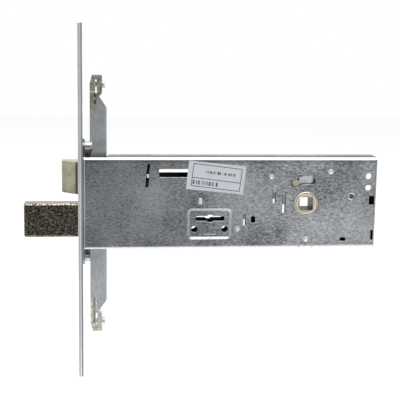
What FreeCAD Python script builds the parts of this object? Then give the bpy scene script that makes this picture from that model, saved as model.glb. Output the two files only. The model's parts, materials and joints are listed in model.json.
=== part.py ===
"""Three-way double-bit mortise lock with rod couplings, one STEP file per separate piece.

Frame, in millimetres: the origin is the centre of the forend's outer face, +X runs into the door,
+Z is up and +Y points to the cover side. The lock is drawn locked: the bolt is thrown, the latch is
out, both rods are driven out, and the levers stand lifted to their gates.
"""
import FreeCAD, Part
import math
import os
from FreeCAD import Vector

# ---------------------------------------------------------------- driving dimensions
FOREND_LENGTH = 215.0
FOREND_WIDTH = 22.0
FOREND_THICK = 2.8
FIXING_SPACING = 198.0          # door screws, hole to hole
FIXING_HOLE_R = 2.25
FIXING_HEAD_R = 4.5

CASE_REAR_X = 183.4
CASE_HALF_HEIGHT = 28.2
CASE_HALF_DEPTH = 7.8
SHEET = 1.2                     # case and cover steel
BEND_R = 1.7                    # outside radius of the case bends
EAR_END_Z = 38.6
EAR_WIDTH = 11.0
EAR_SCREW_Z = 34.0

BACKSET = 80.0                  # forend face to keyhole centre
KEYHOLE_Z = -9.45
KEY_SLOT_LENGTH = 18.4
KEY_SLOT_HEIGHT = 3.1
KEY_POST_R = 2.45
POCKET_LENGTH = 27.3            # pressed keyhole pocket, at the case face
POCKET_HEIGHT = 19.2
POCKET_DEPTH = 1.0
POCKET_SLOPE = 1.5
POCKET_MID = (79.6, -12.6)
ESCUTCHEON_SPACING = 18.7
ESCUTCHEON_HOLE_R = 2.1
ESCUTCHEON_MID = (79.8, -16.15)

FOLLOWER_X = 139.4
FOLLOWER_Z = -0.4
FOLLOWER_R = 7.5
SPINDLE_SQUARE = 8.2
FOLLOWER_TURN = 38.0            # degrees of handle travel
ARM_RADIUS = 14.7
ARM_REST_ANGLE = 118.5          # degrees above +X
ARM_PIN_R = 2.1

LATCH_REACH = 9.8
LATCH_HEIGHT = 20.0
LATCH_MID_Z = 15.5
LATCH_HALF_DEPTH = 4.9
LATCH_ROD_LOW_Z = 9.2
LATCH_ROD_TOP_Z = 14.3
LATCH_TRAVEL = 9.44             # what the arm pin moves along X in its turn

BOLT_THROW = 32.4
BOLT_HEIGHT = 20.6
BOLT_MID_Z = -10.4
BOLT_HALF_DEPTH = 5.0
BOLT_REAR_X = 15.0
BOLT_STEP = 16.2                # one turn of the key
TAIL_REAR_X = 95.5
DRIVE_PIN_X = 11.0
DRIVE_PIN_Z = -4.0
DRIVE_PIN_R = 2.5

ROD_TRAVEL = 17.5
ROD_X0 = 7.1
ROD_X1 = 17.4
ROD_MID_Z = -1.3                # the two rods mirror each other about this height
ROD_SHOULDER = 58.3             # from ROD_MID_Z to the start of the end chamfer
ROD_END = 66.3
ROD_INNER_Y = 5.2
ROD_OUTER_Y = 6.5
COUPLING_END = 78.1
COUPLING_RIVETS = (59.4, 64.0)  # from ROD_MID_Z
CLAMP_SCREW = 72.3
CLAMP_SCREW_Y = 4.2

LEVER_COUNT = 6
LEVER_THICK = 1.1
LEVER_PITCH = 1.25
LEVER_FIRST_Y = -2.4
LEVER_DROP = 2.0

FIT_GAP = 0.02                  # drawn gap of pressed and riveted joints
SLIDE_GAP = 0.15

# ---------------------------------------------------------------- derived places
CASE_X0 = FOREND_THICK
NEAR_Y = -CASE_HALF_DEPTH
FAR_Y = CASE_HALF_DEPTH
NEAR_IN = NEAR_Y + SHEET
FAR_IN = FAR_Y - SHEET
FRONT_IN = CASE_X0 + SHEET
REAR_IN = CASE_REAR_X - SHEET
WALL_IN = CASE_HALF_HEIGHT - SHEET
ROD_DOOR_X = 18.2               # end of the open stretch of top and bottom wall

TAIL_Y = (-4.9, -2.7)
LATCH_ROD_Y = (-4.9, -3.6)
GUIDE_PLATE_Y = (-6.5, -5.3)
STUMP = (60.0, 64.0, 2.2, 5.2)
GUIDE_PINS = ((62.0, -15.8), (96.9, -15.8))
PILLARS = ((117.2, 16.6), (154.1, 19.6), (139.6, -22.5))
PILLAR_R = 1.9
RIVET_R = 1.7
PROUD = 0.12                    # how far a riveted end stands out of the sheet
REAR_SOCKET = (167.7, 4.0)
SOCKET_R = 1.65
SOCKET_END_R = 2.2              # the end riveted into the cover
ROD_STUD = (95.0, 11.75)
SIGHT_SLOT = (48.5, 72.0, 17.1, 21.2)
SIGHT_SLOT_LIP = 0.9            # how much lower the case's own slot reaches than the cover's
RIVET_DIMPLE = (0.95, 0.3, 0.5) # outer and inner radius and depth of a riveted end's dimple
TAB_SLITS = (131.0, 143.4)      # relief slits in the top wall, beside the cover's tab
BEND_NOTCHES = (134.8, 143.2)   # relief notches in the bottom bend
SPRING_SEAT_X = (41.0, 42.4)
LATCH_SPRING_Z = 20.3
LABEL_MID = (83.2, 16.05)
LABEL_TURN = 5.8                # degrees

# staked tab slots of the case: middle X, low Z, high Z
STAKE_SLOTS = ((73.8, -0.3, 7.2), (101.1, -13.5, -5.9), (119.3, 0.0, 7.2), (125.3, -5.9, 5.9))
STAKE_SLOT_WIDTH = 2.2

SHAPES = {}


# ---------------------------------------------------------------- shape helpers
def box(x0, x1, y0, y1, z0, z1):
    return Part.makeBox(x1 - x0, y1 - y0, z1 - z0, Vector(x0, y0, z0))


def rod_y(x, z, r, y0, y1):
    return Part.makeCylinder(r, y1 - y0, Vector(x, y0, z), Vector(0, 1, 0))


def rod_x(y, z, r, x0, x1):
    return Part.makeCylinder(r, x1 - x0, Vector(x0, y, z), Vector(1, 0, 0))


def prism_y(points, y0, y1):
    """Extrude a closed outline of (x, z) points along Y."""
    corners = [Vector(x, y0, z) for x, z in points]
    face = Part.Face(Part.makePolygon(corners + corners[:1]))
    return face.extrude(Vector(0, y1 - y0, 0))


def prism_z(points, z0, z1):
    """Extrude a closed outline of (x, y) points along Z."""
    corners = [Vector(x, y, z0) for x, y in points]
    face = Part.Face(Part.makePolygon(corners + corners[:1]))
    return face.extrude(Vector(0, 0, z1 - z0))


def slot_y(xa, za, xb, zb, width, y0, y1):
    """A round-ended slot between two centres, cut along Y."""
    length = math.hypot(xb - xa, zb - za)
    ux = (xb - xa) / length * width / 2
    uz = (zb - za) / length * width / 2
    bar = prism_y([(xa - uz, za + ux), (xb - uz, zb + ux), (xb + uz, zb - ux), (xa + uz, za - ux)], y0, y1)
    return bar.fuse([rod_y(xa, za, width / 2, y0, y1), rod_y(xb, zb, width / 2, y0, y1)])


def round_rect(x0, x1, z0, z1, r, y0, y1):
    """A block with the four edges along Y rounded."""
    block = box(x0, x1, y0, y1, z0, z1)
    return block.makeFillet(r, edges_along(block, "y"))


def edges_along(shape, axis, test=None):
    """The straight edges parallel to an axis, kept where test(middle point) holds."""
    unit = {"x": Vector(1, 0, 0), "y": Vector(0, 1, 0), "z": Vector(0, 0, 1)}[axis]
    found = []
    for edge in shape.Edges:
        if len(edge.Vertexes) != 2 or edge.Curve.TypeId != "Part::GeomLine":
            continue
        a, b = (v.Point for v in edge.Vertexes)
        direction = (b - a).normalize()
        if abs(abs(direction.dot(unit)) - 1) < 1e-6 and (test is None or test((a + b) * 0.5)):
            found.append(edge)
    return found


def rounded_wire(x_mid, z_mid, length, height, r, y):
    """A rounded rectangle standing at one depth."""
    hx = length / 2
    hz = height / 2
    arcs = []
    for sx, sz, start in ((1, 1, 0), (-1, 1, 90), (-1, -1, 180), (1, -1, 270)):
        centre = Vector(x_mid + sx * (hx - r), y, z_mid + sz * (hz - r))
        points = []
        for turn in (start, start + 45, start + 90):
            a = math.radians(turn)
            points.append(centre + Vector(r * math.cos(a), 0, r * math.sin(a)))
        arcs.append(Part.Arc(*points).toShape())
    edges = []
    for i, arc in enumerate(arcs):
        following = arcs[(i + 1) % 4]
        edges.append(arc)
        edges.append(Part.makeLine(arc.Vertexes[-1].Point, following.Vertexes[0].Point))
    return Part.Wire(edges)


def keep(name, *solids):
    """Store a node: one solid, or a group of separate ones."""
    SHAPES[name] = solids[0] if len(solids) == 1 else Part.makeCompound(list(solids))


def arm_point(angle, radius=ARM_RADIUS):
    a = math.radians(angle)
    return FOLLOWER_X + radius * math.cos(a), FOLLOWER_Z + radius * math.sin(a)


# ---------------------------------------------------------------- forend and its screws
def countersunk_hole(z, hole_r, head_r):
    sink = Part.makeCone(head_r, hole_r, head_r - hole_r, Vector(0, 0, z), Vector(1, 0, 0))
    return rod_x(0, z, hole_r, -1, FOREND_THICK + 1).fuse(sink)


def forend():
    half_length = FOREND_LENGTH / 2
    half_width = FOREND_WIDTH / 2
    plate = box(0, FOREND_THICK, -half_width, half_width, -half_length, half_length)
    rim = [e for e in plate.Edges if all(v.Point.x < 1e-6 for v in e.Vertexes)]
    plate = plate.makeChamfer(0.3, rim)
    rear_edges = edges_along(plate, "z", lambda p: abs(p.x - FOREND_THICK) < 1e-6)
    plate = plate.makeFillet(0.5, rear_edges)
    gap = SLIDE_GAP
    bolt_hole = box(-1, 4, -BOLT_HALF_DEPTH - gap, BOLT_HALF_DEPTH + gap,
                    BOLT_MID_Z - BOLT_HEIGHT / 2 - gap, BOLT_MID_Z + BOLT_HEIGHT / 2 + gap)
    latch_hole = box(-1, 4, -LATCH_HALF_DEPTH - gap, LATCH_HALF_DEPTH + gap,
                     LATCH_MID_Z - LATCH_HEIGHT / 2 - gap, LATCH_MID_Z + LATCH_HEIGHT / 2 + gap)
    holes = [bolt_hole, latch_hole]
    for side in (-1, 1):
        holes.append(countersunk_hole(side * FIXING_SPACING / 2, FIXING_HOLE_R, FIXING_HEAD_R))
        holes.append(countersunk_hole(side * EAR_SCREW_Z, 2.1, 4.0))
    keep("forend", plate.cut(holes))


def cross_recess(z):
    bars = box(-0.1, 1.1, -1.9, 1.9, z - 0.4, z + 0.4)
    return bars.fuse(box(-0.1, 1.1, -0.4, 0.4, z - 1.9, z + 1.9))


def forend_screws():
    screws = []
    for side in (-1, 1):
        z = side * EAR_SCREW_Z
        head = Part.makeCone(3.9, 1.95, 1.95, Vector(0.1, 0, z), Vector(1, 0, 0))
        screws.append(head.fuse(rod_x(0, z, 1.95, 1.0, 8.2)).cut(cross_recess(z)))
    keep("forend_screws", *screws)


def forend_bosses():
    bosses = []
    for side in (-1, 1):
        z = side * EAR_SCREW_Z
        boss = rod_x(0, z, 3.1, FRONT_IN, 8.5).fuse(rod_x(0, z, 2.6, CASE_X0, FRONT_IN))
        boss = boss.cut(rod_x(0, z, 2.0, 2, 9))
        rim = [e for e in boss.Edges if e.Length > 18 and abs(e.CenterOfMass.x - 8.5) < 1e-6]
        bosses.append(boss.makeChamfer(0.4, rim))
    keep("forend_screw_bosses", *bosses)


# ---------------------------------------------------------------- case body and cover
def keyhole(y0, y1):
    half = KEY_SLOT_LENGTH / 2 - KEY_SLOT_HEIGHT / 2
    ends = slot_y(BACKSET - half, KEYHOLE_Z, BACKSET + half, KEYHOLE_Z, KEY_SLOT_HEIGHT, y0, y1)
    return ends.fuse(rod_y(BACKSET, KEYHOLE_Z, KEY_POST_R, y0, y1))


def escutcheon_holes(y0, y1):
    half = ESCUTCHEON_SPACING / 2
    x, z = ESCUTCHEON_MID
    return [rod_y(x + side * half, z, ESCUTCHEON_HOLE_R, y0, y1) for side in (-1, 1)]


def pocket_loft(face_y, into, shrink):
    """The tapered body of the pressed pocket, from the sheet's face inwards."""
    x, z = POCKET_MID
    mouth = rounded_wire(x, z, POCKET_LENGTH - 2 * shrink, POCKET_HEIGHT - 2 * shrink, 3.2 - shrink, face_y)
    slope = POCKET_SLOPE + shrink
    floor = rounded_wire(x, z, POCKET_LENGTH - 2 * slope, POCKET_HEIGHT - 2 * slope, 3.2 - slope,
                         face_y + into)
    return Part.makeLoft([mouth, floor], True, True)


def press_pocket(plate, face_y, inward):
    """Press the keyhole pocket into a plate whose outer face is at face_y."""
    shell = pocket_loft(face_y + inward * SHEET, inward * POCKET_DEPTH, 0.0)
    cavity = pocket_loft(face_y, inward * POCKET_DEPTH, 0.0)
    return plate.fuse(shell).cut(cavity)


def arc_slot():
    """The curved slot that the follower's pin shows in."""
    half_width = 2.5
    start = ARM_REST_ANGLE + 1.6
    end = ARM_REST_ANGLE - FOLLOWER_TURN - 1.6
    y0 = NEAR_Y - 1
    depth = SHEET + 2
    centre = Vector(FOLLOWER_X, y0, FOLLOWER_Z)
    ring = Part.makeCylinder(ARM_RADIUS + half_width, depth, centre, Vector(0, 1, 0))
    ring = ring.cut(Part.makeCylinder(ARM_RADIUS - half_width, depth, centre, Vector(0, 1, 0)))
    far = 40.0
    wedge = prism_y([(FOLLOWER_X, FOLLOWER_Z), arm_point(start, far), arm_point(end, far)], y0, y0 + depth)
    ends = [rod_y(*arm_point(a), half_width, y0, y0 + depth) for a in (start, end)]
    return ring.common(wedge).fuse(ends)


def near_face_openings():
    y0 = NEAR_Y - 1
    y1 = NEAR_IN + 1.5
    cuts = [keyhole(y0, y1)] + escutcheon_holes(y0, y1)
    cuts.append(slot_y(42.2, 23.8, 41.15, 10.9, 2.1, y0, y1))
    x0, x1, z0, z1 = SIGHT_SLOT
    cuts.append(round_rect(x0, x1, z0 - SIGHT_SLOT_LIP, z1, 0.8, y0, y1))
    for x, z0, z1 in STAKE_SLOTS:
        cuts.append(box(x - STAKE_SLOT_WIDTH / 2, x + STAKE_SLOT_WIDTH / 2, y0, y1, z0, z1))
    cuts.append(box(105.1, 107.8, y0, y1, -12.0, -7.9))
    cuts.append(box(161.3, 164.8, y0, y1, -23.9, -21.5))
    cuts.append(box(178.7, REAR_IN, y0, y1, -1.2, 4.5))
    cuts.append(box(180.6, REAR_IN, y0, y1, -23.4, -17.0))
    for z in (9.5, 16.7):
        cuts.append(rod_y(178.0, z, 1.85, y0, y1))
    cuts.append(rod_y(*REAR_SOCKET, SOCKET_END_R + FIT_GAP, y0, y1))
    cuts.append(arc_slot())
    cuts.append(rod_y(FOLLOWER_X, FOLLOWER_Z, FOLLOWER_R + SLIDE_GAP, y0, y1))
    for x, z in PILLARS + GUIDE_PINS[1:]:
        cuts.append(rod_y(x, z, RIVET_R + FIT_GAP, y0, y1))
    cuts.append(rod_y(*ROD_STUD, 1.2 + FIT_GAP, y0, y1))
    return cuts


def ear_strip(width, half_height):
    """A round-ended strip standing against the forend."""
    strip = box(CASE_X0, FRONT_IN, -width / 2, width / 2, -half_height, half_height)
    return strip.makeFillet(width / 2 - 0.01, edges_along(strip, "x"))


def front_wall():
    """The case's front flange with the two ears that carry the forend."""
    ear = ear_strip(EAR_WIDTH, EAR_END_Z)
    wall = box(CASE_X0, FRONT_IN, NEAR_Y + BEND_R, FAR_Y, -CASE_HALF_HEIGHT, CASE_HALF_HEIGHT)
    return wall.fuse(ear)


def ear_lug(side):
    """The tapered lug that stiffens an ear at its root."""
    foot = Vector(5.6, 0, side * (WALL_IN + 0.2))
    return Part.makeCone(1.3, 2.3, 3.6, foot, Vector(0, 0, side))


def case_body():
    outer = box(CASE_X0, CASE_REAR_X, NEAR_Y, FAR_Y, -CASE_HALF_HEIGHT, CASE_HALF_HEIGHT)
    near_edges = edges_along(outer, "x", lambda p: p.y < 0) + edges_along(outer, "z", lambda p: p.y < 0)
    outer = outer.makeFillet(BEND_R, near_edges)
    inner = box(FRONT_IN, REAR_IN, NEAR_IN, FAR_Y + 1, -WALL_IN, WALL_IN)
    inner_edges = edges_along(inner, "x", lambda p: p.y < 0) + edges_along(inner, "z", lambda p: p.y < 0)
    inner = inner.makeFillet(BEND_R - SHEET, inner_edges)
    tray = outer.cut(inner).fuse(front_wall())
    tray = press_pocket(tray, NEAR_Y, 1)
    gap = SLIDE_GAP
    cuts = near_face_openings()
    floor_y = NEAR_Y + POCKET_DEPTH
    cuts.append(box(76.8, 83.6, floor_y - 0.5, floor_y + 0.15, -19.4, -19.0))
    cuts.append(box(83.2, 83.6, floor_y - 0.5, floor_y + 0.15, -19.4, -17.6))
    for side in (-1, 1):
        z0, z1 = sorted((side * 20, side * 40))
        cuts.append(box(FRONT_IN, ROD_DOOR_X, NEAR_IN, FAR_Y + 1, z0, z1))
        cuts.append(rod_x(0, side * EAR_SCREW_Z, 2.6 + FIT_GAP, 2, 5))
    cuts.append(box(2, 5, -BOLT_HALF_DEPTH - gap, BOLT_HALF_DEPTH + gap,
                    BOLT_MID_Z - BOLT_HEIGHT / 2 - gap, BOLT_MID_Z + BOLT_HEIGHT / 2 + gap))
    cuts.append(box(2, 5, -LATCH_HALF_DEPTH - gap, LATCH_HALF_DEPTH + gap,
                    LATCH_MID_Z - LATCH_HEIGHT / 2 - gap, LATCH_MID_Z + LATCH_HEIGHT / 2 + gap))
    cuts.append(box(131.2, 144.1, FAR_IN - 0.1, FAR_Y + 1, WALL_IN - 1, 30))
    cuts.append(box(135.0, 144.5, FAR_IN - 0.1, FAR_Y + 1, -30, 1 - WALL_IN))
    for x in TAB_SLITS:
        cuts.append(box(x, x + 0.9, 3.2, FAR_Y + 1, WALL_IN - 1, 30))
    for x in BEND_NOTCHES:
        cuts.append(box(x, x + 1.2, NEAR_Y - 1, NEAR_IN + 0.8, -30, 1.1 - CASE_HALF_HEIGHT))
    cuts.append(box(REAR_IN - 1, 185, 0.5, FAR_Y + 1, 5.5, 20.5))
    lugs = [ear_lug(1), ear_lug(-1)]
    keep("case_body", tray.cut(cuts).fuse(lugs).removeSplitter())


def case_cover():
    plate = box(FRONT_IN + 0.1, REAR_IN - 0.1, FAR_IN, FAR_Y, 0.1 - WALL_IN, WALL_IN - 0.1)
    tabs = [box(131.8, 143.5, FAR_IN, FAR_Y, WALL_IN - 1, CASE_HALF_HEIGHT),
            box(135.6, 143.9, FAR_IN, FAR_Y, -CASE_HALF_HEIGHT, 1 - WALL_IN)]
    plate = press_pocket(plate.fuse(tabs), FAR_Y, -1)
    y0 = FAR_IN - 1.5
    y1 = FAR_Y + 1
    cuts = [keyhole(y0, y1)] + escutcheon_holes(y0, y1)
    cuts.append(round_rect(*SIGHT_SLOT, 0.8, y0, y1))
    cuts.append(rod_y(FOLLOWER_X, FOLLOWER_Z, FOLLOWER_R + SLIDE_GAP, y0, y1))
    cuts.append(box(173.5, 185, y0, y1, 5.5, 20.5))
    for x, z in PILLARS + GUIDE_PINS:
        cuts.append(rod_y(x, z, RIVET_R + FIT_GAP, y0, y1))
    cuts.append(rod_y(*REAR_SOCKET, SOCKET_END_R + FIT_GAP, y0, y1))
    keep("case_cover", plate.cut(cuts).removeSplitter())


# ---------------------------------------------------------------- fixed pieces inside the case
def riveted_pin(x, z, r, shoulder_y0, end_y0):
    """A turned pin riveted over into the cover, and into the case where end_y0 is outside it."""
    shoulder = rod_y(x, z, r, shoulder_y0, FAR_IN)
    pin = shoulder.fuse(rod_y(x, z, RIVET_R, end_y0, FAR_Y + PROUD))
    rims = [e for e in pin.Edges if e.Closed and abs(abs(e.CenterOfMass.y) - FAR_Y - PROUD) < 1e-6]
    outer_r, inner_r, depth = RIVET_DIMPLE
    dimples = [Part.makeCone(outer_r, inner_r, depth, Vector(x, FAR_Y + PROUD, z), Vector(0, -1, 0))]
    if end_y0 < NEAR_Y:
        dimples.append(Part.makeCone(outer_r, inner_r, depth, Vector(x, end_y0, z), Vector(0, 1, 0)))
    return pin.makeFillet(0.3, rims).cut(dimples)


def case_pillars():
    keep("case_pillars", *[riveted_pin(x, z, PILLAR_R, NEAR_IN, NEAR_Y - PROUD) for x, z in PILLARS])


def lever_guide_pins():
    left, right = GUIDE_PINS
    keep("lever_guide_pins", riveted_pin(*left, RIVET_R, -2.6, -2.6),
         riveted_pin(*right, RIVET_R, NEAR_IN, NEAR_Y - PROUD))


def rear_socket():
    x, z = REAR_SOCKET
    tube = rod_y(x, z, 3.0, NEAR_IN + FIT_GAP, FAR_IN).fuse(rod_y(x, z, SOCKET_END_R, FAR_IN, FAR_Y))
    keep("rear_threaded_pillar", tube.cut(rod_y(x, z, SOCKET_R, NEAR_Y - 1, FAR_Y + 1)))


def stake_tab(index):
    """A sheet tab that fills the left of one stake slot and stands a little proud."""
    x, z0, z1 = STAKE_SLOTS[index]
    left = x - STAKE_SLOT_WIDTH / 2 + 0.1
    return box(left, left + SHEET, NEAR_Y - PROUD, GUIDE_PLATE_Y[1], z0 + 0.1, z1 - 0.1)


def spread_tab():
    """The first stake tab, whose lower half is spread over the slot's whole width."""
    x, z0, z1 = STAKE_SLOTS[0]
    half = STAKE_SLOT_WIDTH / 2 - 0.1
    spread = box(x - half, x + half, NEAR_Y - 3 * PROUD, NEAR_IN, z0 + 0.1, (z0 + z1) / 2)
    upset = [e for e in spread.Edges if e.BoundBox.YMax < NEAR_Y]
    return stake_tab(0).fuse(spread.makeFillet(0.2, upset))


def lever_cage_plate():
    y0, y1 = GUIDE_PLATE_Y
    plate = prism_y([(72.6, -1.2), (94.6, -1.2), (94.6, -20.0), (104.0, -20.0), (104.0, 8.3), (72.6, 8.3)],
                    y0, y1)
    plate = plate.fuse([spread_tab(), stake_tab(1)])
    keep("lever_cage_plate", plate.cut(rod_y(*GUIDE_PINS[1], RIVET_R + FIT_GAP, y0 - 1, y1 + 1)))


def bolt_tail_guide():
    """A channel behind the levers that the bolt tail runs into when it is drawn back."""
    y0, y1 = GUIDE_PLATE_Y
    floor = box(113.0, 129.4, y0, y1, -8.0, 8.5)
    lips = [box(113.0, 129.4, y0, -2.8, 7.3, 8.5), box(113.0, 129.4, y0, -2.8, -4.3, -3.1)]
    keep("bolt_tail_guide", floor.fuse(lips + [stake_tab(2), stake_tab(3)]))


def latch_spring_seat():
    x0, x1 = SPRING_SEAT_X
    plate = box(x0, x1, -3.4, 5.0, 14.7, WALL_IN - 0.6)
    tab = box(x0 + 0.1, x1 - 0.1, NEAR_Y - 0.5, -3.3, 16.0, 18.2)
    keep("latch_spring_seat", plate.fuse(tab).cut(rod_x(0, LATCH_SPRING_Z, 1.2 + FIT_GAP, x0 - 1, x1 + 1)))


def latch_spring_pin():
    x0, x1 = SPRING_SEAT_X
    pin = rod_x(0, LATCH_SPRING_Z, 1.6, 22.0, x0).fuse(rod_x(0, LATCH_SPRING_Z, 1.2, x0, x1 + 0.3))
    keep("latch_spring_pin", pin)


def latch_rod_stud():
    shank = rod_y(*ROD_STUD, 1.2, NEAR_Y, -3.4)
    flanges = [rod_y(*ROD_STUD, 2.2, -3.4, -2.65), rod_y(*ROD_STUD, 2.2, NEAR_IN, -5.1)]
    keep("latch_rod_stud", shank.fuse(flanges))


def lever_spring_holder():
    keep("lever_spring_holder", box(101.6, 104.6, -2.6, FAR_IN, 11.0, 16.5))


def label():
    """A paper sticker across the case, turned a few degrees."""
    plate = round_rect(-17.6, 17.6, -8.7, 8.7, 0.6, NEAR_Y - 0.12, NEAR_Y)
    plate.rotate(Vector(0, 0, 0), Vector(0, 1, 0), LABEL_TURN)
    plate.translate(Vector(LABEL_MID[0], 0, LABEL_MID[1]))
    keep("inspection_label", plate)


# ---------------------------------------------------------------- latch
def latch_head():
    d = LATCH_HALF_DEPTH
    outline = [(-1.3, -d), (7.0, -d), (7.0, d), (-LATCH_REACH, d), (-LATCH_REACH, d - 2.4)]
    z0 = LATCH_MID_Z - LATCH_HEIGHT / 2
    z1 = LATCH_MID_Z + LATCH_HEIGHT / 2
    head = prism_z(outline, z0, z1)
    nose = [e for e in head.Edges if e.BoundBox.XMax < -1.2]
    head = head.makeFillet(1.0, nose)
    dimple = Part.makeSphere(1.5, Vector(-6.0, -2.05, 16.2))
    rod_seat = box(3.1, 8.0, -d - 1, LATCH_ROD_Y[1] + FIT_GAP, 8.9, 14.7)
    holes = [rod_y(5.2, z, 1.0 + FIT_GAP, -d, d + 1) for z in (10.4, 13.1)]
    keep("latch_head", head.cut([dimple, rod_seat] + holes))


def latch_rod():
    y0, y1 = LATCH_ROD_Y
    low = LATCH_ROD_LOW_Z
    top = LATCH_ROD_TOP_Z
    pin_x, pin_z = arm_point(ARM_REST_ANGLE)
    outline = [(3.2, low), (146.0, low), (146.0, 16.6), (139.0, 16.6), (139.0, 18.8), (125.8, 18.8),
               (123.0, top), (3.2, top)]
    slack = 0.35
    pin_slot = round_rect(pin_x - ARM_PIN_R - slack, pin_x + ARM_PIN_R + slack,
                          pin_z - ARM_PIN_R - slack, FOLLOWER_Z + ARM_RADIUS + ARM_PIN_R + slack,
                          1.0, y0 - 1, y1 + 1)
    stud_x, stud_z = ROD_STUD
    guide_slot = slot_y(stud_x - LATCH_TRAVEL, stud_z, stud_x, stud_z, 2.8, y0 - 1, y1 + 1)
    holes = [rod_y(5.2, z, 1.0 + FIT_GAP, y0 - 1, y1 + 1) for z in (10.4, 13.1)]
    keep("latch_rod", prism_y(outline, y0, y1).cut([pin_slot, guide_slot] + holes))


def latch_rivets():
    keep("latch_rivets", *[rod_y(5.2, z, 1.0, LATCH_ROD_Y[0], LATCH_HALF_DEPTH) for z in (10.4, 13.1)])


def latch_spring():
    x0 = 7.1
    x1 = SPRING_SEAT_X[0] - 0.1
    tube = rod_x(0, LATCH_SPRING_Z, 3.0, x0, x1)
    keep("latch_spring", tube.cut(rod_x(0, LATCH_SPRING_Z, 2.2, x0 - 1, x1 + 1)))


# ---------------------------------------------------------------- follower
def follower():
    pin_x, pin_z = arm_point(ARM_REST_ANGLE)
    hub = rod_y(FOLLOWER_X, FOLLOWER_Z, FOLLOWER_R, NEAR_Y - 0.15, FAR_Y + 0.15)
    rims = [e for e in hub.Edges if e.Closed]
    hub = hub.makeChamfer(0.4, rims)
    collar = rod_y(FOLLOWER_X, FOLLOWER_Z, 9.2, -3.3, 0.7)
    arm = slot_y(FOLLOWER_X, FOLLOWER_Z, pin_x, pin_z, 6.4, -3.3, 0.7)
    pin = rod_y(pin_x, pin_z, ARM_PIN_R, NEAR_Y + 0.1, 0.0)
    lug = rod_y(136.0, 12.0, 1.0, 0.0, 2.9)
    half = SPINDLE_SQUARE / 2
    square = box(FOLLOWER_X - half, FOLLOWER_X + half, -9, 9, FOLLOWER_Z - half, FOLLOWER_Z + half)
    keep("follower", hub.fuse([collar, arm, pin, lug]).cut(square).removeSplitter())


def follower_spring():
    """The torsion spring round the hub: its coils, and a leg to a pillar and one to the arm's lug."""
    mean_r = 8.9
    wire = 0.55
    coils = rod_y(FOLLOWER_X, FOLLOWER_Z, mean_r + wire, 1.2, 5.4)
    coils = coils.cut(rod_y(FOLLOWER_X, FOLLOWER_Z, mean_r - wire, 1.0, 6.0))
    legs = []
    for turn, length, y in ((-7.9, 21.0, 4.8), (50.0, 8.2, 1.8)):
        a = math.radians(turn)
        foot = Vector(FOLLOWER_X + mean_r * math.cos(a), y, FOLLOWER_Z + mean_r * math.sin(a))
        legs.append(Part.makeCylinder(wire, length, foot, Vector(-math.sin(a), 0, math.cos(a))))
    keep("follower_spring", coils.fuse(legs).removeSplitter())


# ---------------------------------------------------------------- deadbolt
def bolt_pin_holes(y0, y1):
    holes = [rod_y(DRIVE_PIN_X, DRIVE_PIN_Z, DRIVE_PIN_R + FIT_GAP, y0, y1)]
    return holes + [rod_y(9.8, z, 1.5 + FIT_GAP, y0, y1) for z in (-10.5, -15.5)]


def bolt_head():
    d = BOLT_HALF_DEPTH
    z0 = BOLT_MID_Z - BOLT_HEIGHT / 2
    z1 = BOLT_MID_Z + BOLT_HEIGHT / 2
    block = box(-BOLT_THROW, BOLT_REAR_X, -d, d, z0, z1)
    block = block.makeChamfer(1.0, edges_along(block, "x"))
    nose = [e for e in block.Edges if e.BoundBox.XMax < 0.01 - BOLT_THROW]
    block = block.makeChamfer(0.5, nose)
    tail_seat = box(4.5, BOLT_REAR_X + 1, -d - 1, TAIL_Y[1] + FIT_GAP, -18.0, z1 + 1)
    keep("bolt_head", block.cut([tail_seat] + bolt_pin_holes(-6, 6)))


def bolt_tail():
    y0, y1 = TAIL_Y
    below_latch = LATCH_MID_Z - LATCH_HEIGHT / 2 - 0.6
    outline = [(4.6, -17.9), (14.9, -17.9), (14.9, -2.8), (TAIL_REAR_X, -2.8), (TAIL_REAR_X, 7.0),
               (22.0, 7.0), (20.0, below_latch), (4.6, below_latch)]
    cuts = bolt_pin_holes(y0 - 1, y1 + 1)
    for turn in range(3):
        x = TAIL_REAR_X - 4.6 - turn * BOLT_STEP
        cuts.append(round_rect(x - 2.5, x + 2.5, -6.0, 0.6, 0.8, y0 - 1, y1 + 1))
    x0, x1, z0, z1 = STUMP
    cuts.append(box(x0 + 0.5, x1 - 0.5, y0 - 1, y1 + 1, z0 + 0.4, z1 - 0.4))
    keep("bolt_tail", prism_y(outline, y0, y1).cut(cuts))


def bolt_stump():
    x0, x1, z0, z1 = STUMP
    far = LEVER_FIRST_Y + LEVER_COUNT * LEVER_PITCH + 0.1
    tenon = box(x0 + 0.5 + FIT_GAP, x1 - 0.5 - FIT_GAP, TAIL_Y[0], TAIL_Y[1],
                z0 + 0.4 + FIT_GAP, z1 - 0.4 - FIT_GAP)
    keep("bolt_stump", box(x0, x1, TAIL_Y[1], far, z0, z1).fuse(tenon))


def bolt_pins():
    keep("rod_drive_pin", rod_y(DRIVE_PIN_X, DRIVE_PIN_Z, DRIVE_PIN_R, -ROD_OUTER_Y, ROD_OUTER_Y))
    keep("bolt_rivets", *[rod_y(9.8, z, 1.5, TAIL_Y[0], BOLT_HALF_DEPTH) for z in (-10.5, -15.5)])


# ---------------------------------------------------------------- locking rods
def mirrored_z(side, points):
    """Points given as (x, distance from ROD_MID_Z), for the top rod or the bottom one."""
    return [(x, ROD_MID_Z + side * w) for x, w in points]


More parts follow.
